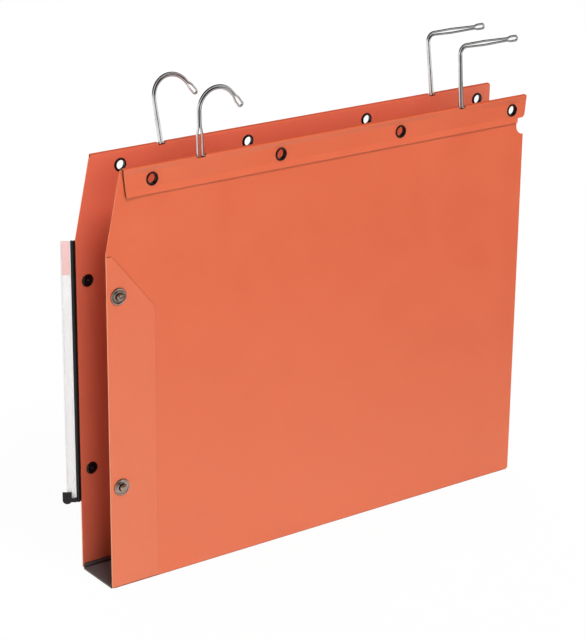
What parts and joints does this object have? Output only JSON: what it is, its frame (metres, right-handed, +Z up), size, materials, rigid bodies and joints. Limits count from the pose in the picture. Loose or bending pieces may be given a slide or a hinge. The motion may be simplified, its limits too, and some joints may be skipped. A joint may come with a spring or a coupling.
{
  "type": "hanging file folder",
  "caption": "Lateral hanging file folder of orange card with a flat dark base, doubled-wire hooks, eyeleted top folds, press studs and an edge label holder.",
  "frame": {"origin": "centre of the base strip's underside, on the surface that the folder stands on", "axes": "+X along the panels towards the long-armed hooks, +Y from the front panel (studs) to the rear panel (label), +Z up"},
  "size_m": [0.3406, 0.0524, 0.3161],
  "materials": {
    "orange_card": "smooth orange kraft card, slightly waxy",
    "dark_card": "dark brown-black board",
    "hook_wire": "bright plated steel wire",
    "eyelet_metal": "glossy black",
    "stud_metal": "gunmetal",
    "black_plastic": "satin black",
    "clear_plastic": "clear",
    "label_paper": "white paper with a pale pink head"
  },
  "bodies": {
    "base": {"base_strip": "dark_card"},
    "front_side": {"front_panel": "orange_card", "front_edge_hem": "orange_card", "front_base_flange": "dark_card", "front_eyelets": "eyelet_metal", "front_eyelet_washers": "eyelet_metal", "front_studs": "stud_metal", "front_stud_rivets": "eyelet_metal"},
    "rear_side": {"rear_panel": "orange_card", "rear_edge_hem": "orange_card", "rear_base_flange": "dark_card", "rear_eyelets": "eyelet_metal", "rear_eyelet_washers": "eyelet_metal", "rear_sockets": "stud_metal", "rear_socket_caps": "eyelet_metal", "socket_springs": "hook_wire", "label_rail": "black_plastic"},
    "front_left_hook": {"front_left_hook": "hook_wire"},
    "front_right_hook": {"front_right_hook": "hook_wire"},
    "rear_left_hook": {"rear_left_hook": "hook_wire"},
    "rear_right_hook": {"rear_right_hook": "hook_wire"},
    "label_holder": {"label_clip": "black_plastic", "label_sleeve": "clear_plastic", "label_foot": "black_plastic"},
    "label": {"label_insert": "label_paper"}
  },
  "joints": [
    {"name": "front_panel_fold", "type": "hinge", "parent": "base", "child": "front_side", "pos_m": [0, -0.01775, 0.0005], "axis": [1, 0, 0], "range_deg": [-1, 80]},
    {"name": "front_left_hook_swing", "type": "hinge", "parent": "front_side", "child": "front_left_hook", "pos_m": [-0.0975, -0.0189, 0.2736], "axis": [1, 0, 0], "range_deg": [-13, 22]},
    {"name": "front_right_hook_swing", "type": "hinge", "parent": "front_side", "child": "front_right_hook", "pos_m": [0.1087, -0.0189, 0.2736], "axis": [1, 0, 0], "range_deg": [-10.5, 24.5]},
    {"name": "rear_panel_fold", "type": "hinge", "parent": "base", "child": "rear_side", "pos_m": [0, 0.01775, 0.0005], "axis": [-1, 0, 0], "range_deg": [-1, 80]},
    {"name": "rear_left_hook_swing", "type": "hinge", "parent": "rear_side", "child": "rear_left_hook", "pos_m": [-0.1015, 0.0189, 0.2736], "axis": [-1, 0, 0], "range_deg": [-30, 5]},
    {"name": "rear_right_hook_swing", "type": "hinge", "parent": "rear_side", "child": "rear_right_hook", "pos_m": [0.1145, 0.0189, 0.2736], "axis": [-1, 0, 0], "range_deg": [-23.5, 11.5]},
    {"name": "label_holder_swing", "type": "hinge", "parent": "rear_side", "child": "label_holder", "pos_m": [-0.1664, 0.0189, 0.1355], "axis": [0, 0, -1], "range_deg": [-35, 45]},
    {"name": "label_slide", "type": "slide", "parent": "label_holder", "child": "label", "axis": [0, 0, 1], "range_m": [0, 0.165]}
  ]
}
